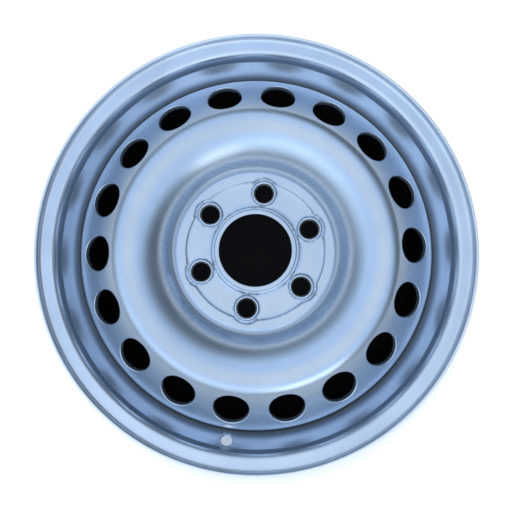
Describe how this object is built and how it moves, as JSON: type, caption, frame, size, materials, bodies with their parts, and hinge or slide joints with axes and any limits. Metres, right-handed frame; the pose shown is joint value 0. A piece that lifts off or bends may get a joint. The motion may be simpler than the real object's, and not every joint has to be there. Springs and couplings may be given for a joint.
{
  "type": "steel wheel rim",
  "caption": "Pressed steel road wheel: rolled drop-centre rim, deep-bowled disc with a ring of round vents, open centre bore, and lug holes in raised bosses.",
  "frame": {"origin": "centre of the plane that the inboard flange's edge rests on, on the axle line", "axes": "+Z along the axle line, from the inboard side to the outboard face; +X through a lug hole; the valve hole lies 240 degrees round from +X"},
  "size_m": [0.4712, 0.4712, 0.1964],
  "materials": {
    "rim_paint": "silver paint, semi-gloss",
    "disc_paint": "silver paint, gloss",
    "weld_paint": "silver paint over a rippled weld"
  },
  "bodies": {
    "root": {"rim": "rim_paint", "disc": "disc_paint", "weld_bead_1": "weld_paint", "weld_bead_2": "weld_paint", "weld_bead_3": "weld_paint", "weld_bead_4": "weld_paint", "weld_bead_5": "weld_paint", "weld_bead_6": "weld_paint"}
  },
  "joints": []
}
